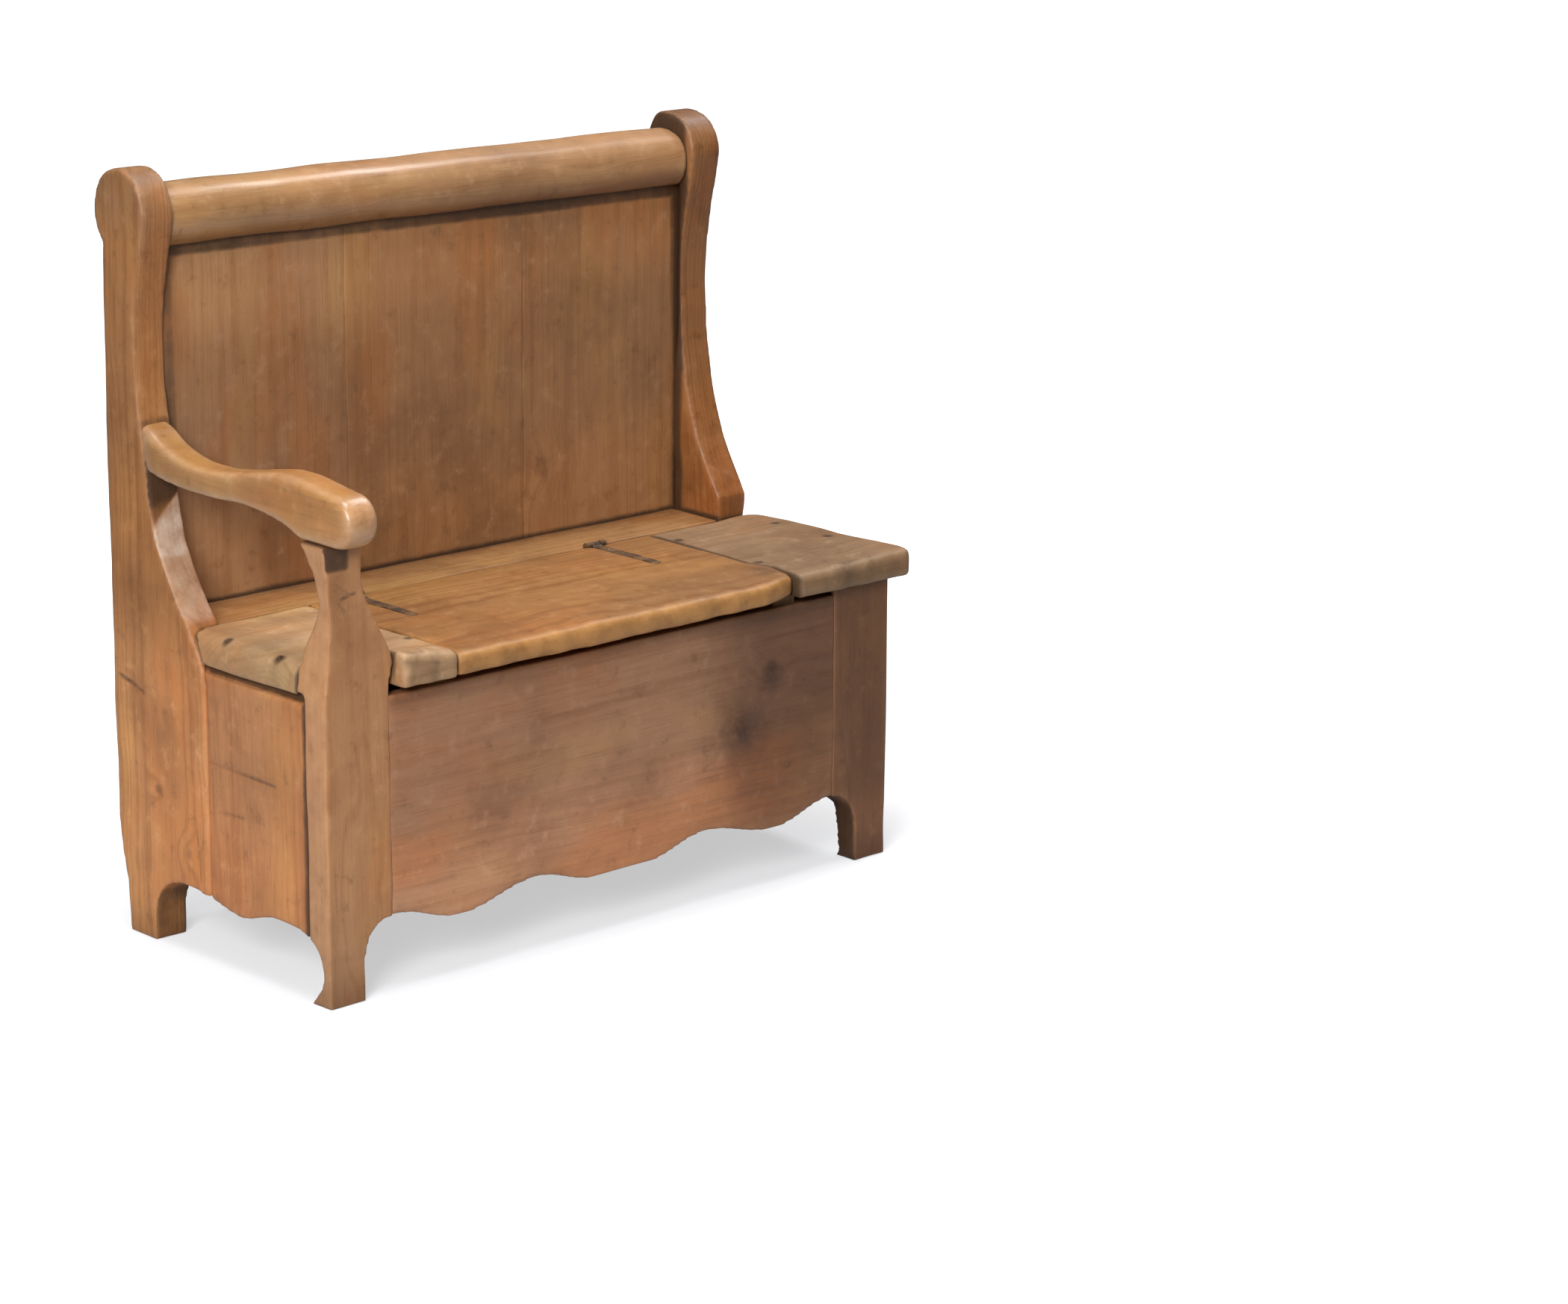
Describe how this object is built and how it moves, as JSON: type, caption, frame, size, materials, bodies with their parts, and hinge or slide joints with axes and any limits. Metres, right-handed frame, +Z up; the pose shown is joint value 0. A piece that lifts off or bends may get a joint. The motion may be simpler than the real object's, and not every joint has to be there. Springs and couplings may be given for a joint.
{
  "type": "settle",
  "caption": "Pine box settle: boarded back under a round crest rail between round-headed uprights, hinged seat lid over a storage box, one scrolled arm, wavy sawn skirt.",
  "frame": {"origin": "middle of the settle's bounding box, on the floor", "axes": "+Z up, +X to the right seen from the front, the front faces -Y"},
  "size_m": [1.018, 0.525, 1.03],
  "materials": {
    "waxed_pine": "waxed honey-brown pine",
    "seat_pine": "worn waxed pine",
    "inner_pine": "sawn pine, no wax",
    "iron": "dark wrought iron"
  },
  "bodies": {
    "frame": {"left_upright": "waxed_pine", "right_upright": "waxed_pine", "left_front_post": "waxed_pine", "right_front_post": "waxed_pine", "arm": "waxed_pine", "left_end_panel": "waxed_pine", "right_end_panel": "waxed_pine", "front_board": "waxed_pine", "back_board_left": "waxed_pine", "back_board_middle": "waxed_pine", "back_board_right": "waxed_pine", "crest_roll": "waxed_pine", "rear_rail": "inner_pine", "back_cleat": "inner_pine", "left_seat_bearer": "inner_pine", "right_seat_bearer": "inner_pine", "front_floor_bearer": "inner_pine", "rear_floor_bearer": "inner_pine", "floor_board_front": "inner_pine", "floor_board_middle": "inner_pine", "floor_board_rear": "inner_pine", "seat_left_board": "seat_pine", "seat_right_board": "seat_pine", "seat_back_strip": "seat_pine", "left_hinge_leaf": "iron", "right_hinge_leaf": "iron", "left_hinge_pin": "iron", "right_hinge_pin": "iron", "seat_board_nails": "iron", "leaf_nails": "iron"},
    "lid": {"seat_lid": "seat_pine", "left_lid_batten": "inner_pine", "right_lid_batten": "inner_pine", "left_hinge_strap": "iron", "right_hinge_strap": "iron", "strap_nails": "iron"}
  },
  "joints": [
    {"name": "lid_hinge", "type": "hinge", "parent": "frame", "child": "lid", "pos_m": [-0.009, 0.0895, 0.449], "axis": [-1, 0, 0], "range_deg": [0, 108]}
  ]
}
